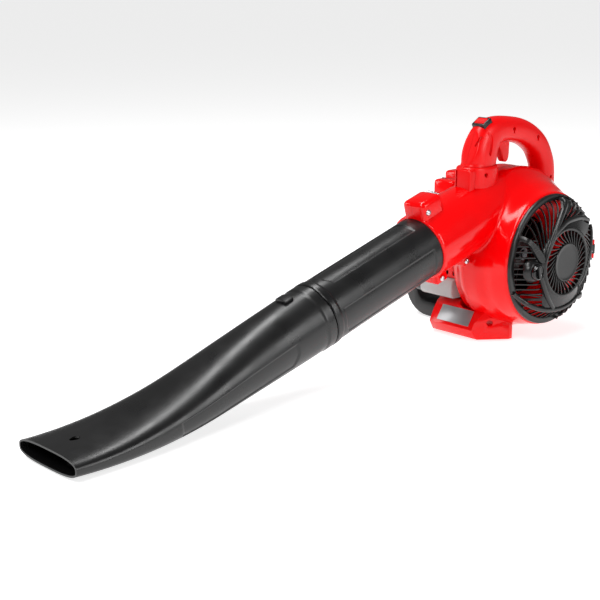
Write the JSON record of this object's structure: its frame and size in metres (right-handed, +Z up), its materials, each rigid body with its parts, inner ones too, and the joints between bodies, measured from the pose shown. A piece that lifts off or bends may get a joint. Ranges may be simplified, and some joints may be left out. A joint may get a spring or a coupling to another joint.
{
  "type": "hand-held leaf blower",
  "caption": "Hand-held petrol leaf blower: volute fan housing with a hinged intake grille, two-stroke engine beside it, D handle, and a two-piece tube ending in a flat nozzle.",
  "frame": {"origin": "on the flat underside of the front foot, in the plane of the blow tube, 56 mm in front of the fan axis", "axes": "-Y forward along the blow tube to the nozzle, +X the intake grille's side, +Z up; the ground is z = 0"},
  "size_m": [0.3012, 0.9745, 0.3453],
  "materials": {
    "red_gloss": "glossy moulded nylon",
    "red_satin": "semi-gloss moulded nylon",
    "black_satin": "satin moulded polypropylene",
    "black_gloss": "polished black plastic",
    "rubber": "matte black rubber",
    "tank": "translucent natural polyethylene",
    "foam": "open-cell filter foam",
    "alloy": "die-cast aluminium",
    "steel": "zinc-plated steel",
    "ceramic": "glazed ceramic",
    "plate": "blank brushed plate"
  },
  "bodies": {
    "machine": {"housing_intake_half": "red_gloss", "housing_engine_half": "red_gloss", "engine_cover": "red_gloss", "engine_shroud": "red_gloss", "filter_cover": "red_gloss", "base_foot": "red_gloss", "inlet_cone": "red_satin", "handle_left": "red_satin", "handle_right": "red_satin", "handle_collar": "red_satin", "upper_tube": "black_satin", "switch_bezel": "black_satin", "filter_base": "black_satin", "muffler_guard": "black_satin", "starter_housing": "black_satin", "leg": "black_satin", "throttle_cable": "rubber", "front_buffer": "rubber", "rear_buffer": "rubber", "plug_boot": "rubber", "ignition_coil": "rubber", "ignition_lead": "rubber", "intake_insulator": "rubber", "fuel_hose": "rubber", "fuel_tank": "tank", "filter_element": "foam", "crankcase": "alloy", "cylinder": "alloy", "piston": "alloy", "carburettor": "alloy", "muffler": "alloy", "top_screw": "steel", "lower_screw": "steel", "front_screw": "steel", "grille_hinge_pin": "steel", "trigger_pin": "steel", "trigger_spring": "steel", "bearing_fan_side": "steel", "bearing_starter_side": "steel", "piston_pin": "steel", "recoil_spring": "steel", "spark_plug": "ceramic", "rating_plate": "plate"},
    "rotor": {"impeller": "black_satin", "impeller_nut": "steel", "crankshaft": "steel", "flywheel": "alloy"},
    "trigger": {"trigger": "red_satin"},
    "throttle": {"throttle_shaft": "steel"},
    "stop_switch": {"switch_rocker": "red_satin"},
    "grille": {"grille_cover": "black_satin"},
    "grille_knob": {"grille_knob": "black_gloss"},
    "nozzle": {"nozzle_tube": "black_satin"},
    "pull_grip": {"starter_grip": "black_satin", "starter_rope": "rubber"},
    "pulley": {"starter_pulley": "black_satin"},
    "fuel_cap": {"fuel_cap": "black_satin"},
    "choke": {"choke_lever": "steel"},
    "primer": {"primer_bulb": "rubber"}
  },
  "joints": [
    {"name": "fan_spin", "type": "hinge", "parent": "machine", "child": "rotor", "pos_m": [0, 0.056, 0.128], "axis": [1, 0, 0], "continuous": true},
    {"name": "trigger_pull", "type": "hinge", "parent": "machine", "child": "trigger", "pos_m": [0, 0.018, 0.314], "axis": [1, 0, 0], "range_deg": [0, 20], "stiffness_Nm_per_rad": 0.3, "springref_deg": -17.19},
    {"name": "throttle_turn", "type": "hinge", "parent": "machine", "child": "throttle", "pos_m": [-0.078, 0.013, 0.193], "axis": [1, 0, 0], "range_deg": [-70, 0]},
    {"name": "switch_rock", "type": "hinge", "parent": "machine", "child": "stop_switch", "pos_m": [0, -0.0195, 0.3355], "axis": [1, 0, 0], "range_deg": [-7, 7]},
    {"name": "grille_open", "type": "hinge", "parent": "machine", "child": "grille", "pos_m": [0.0832, 0.1635, 0.128], "axis": [0, 0, 1], "range_deg": [0, 100]},
    {"name": "knob_turn", "type": "hinge", "parent": "grille", "child": "grille_knob", "pos_m": [0.1, -0.014, 0.124], "axis": [1, 0, 0], "range_deg": [0, 90]},
    {"name": "nozzle_twist", "type": "hinge", "parent": "machine", "child": "nozzle", "pos_m": [0, -0.3659, 0.1016], "axis": [0, -0.9588, -0.284], "range_deg": [0, 30]},
    {"name": "starter_pull", "type": "slide", "parent": "machine", "child": "pull_grip", "axis": [0, 0.6198, 0.7848], "range_m": [0, 0.6], "stiffness_N_per_m": 10, "springref_m": -0.1},
    {"name": "pulley_turn", "type": "hinge", "parent": "machine", "child": "pulley", "pos_m": [-0.1263, 0.056, 0.128], "axis": [1, 0, 0], "range_deg": [0, 1376]},
    {"name": "fuel_cap_turn", "type": "hinge", "parent": "machine", "child": "fuel_cap", "pos_m": [-0.12, -0.002, 0.068], "axis": [-1, 0, 0], "range_deg": [0, 540]},
    {"name": "choke_swing", "type": "hinge", "parent": "machine", "child": "choke", "pos_m": [-0.081, -0.0193, 0.214], "axis": [0, 1, 0], "range_deg": [0, 45]},
    {"name": "primer_press", "type": "slide", "parent": "machine", "child": "primer", "axis": [1, 0, 0], "range_m": [0, 0.004], "stiffness_N_per_m": 200, "springref_m": -0.002}
  ],
  "couplings": [
    {"joint": "throttle_turn", "follows": "trigger_pull", "ratio": -3.5},
    {"joint": "pulley_turn", "follows": "starter_pull", "rad_per_m": 40}
  ]
}
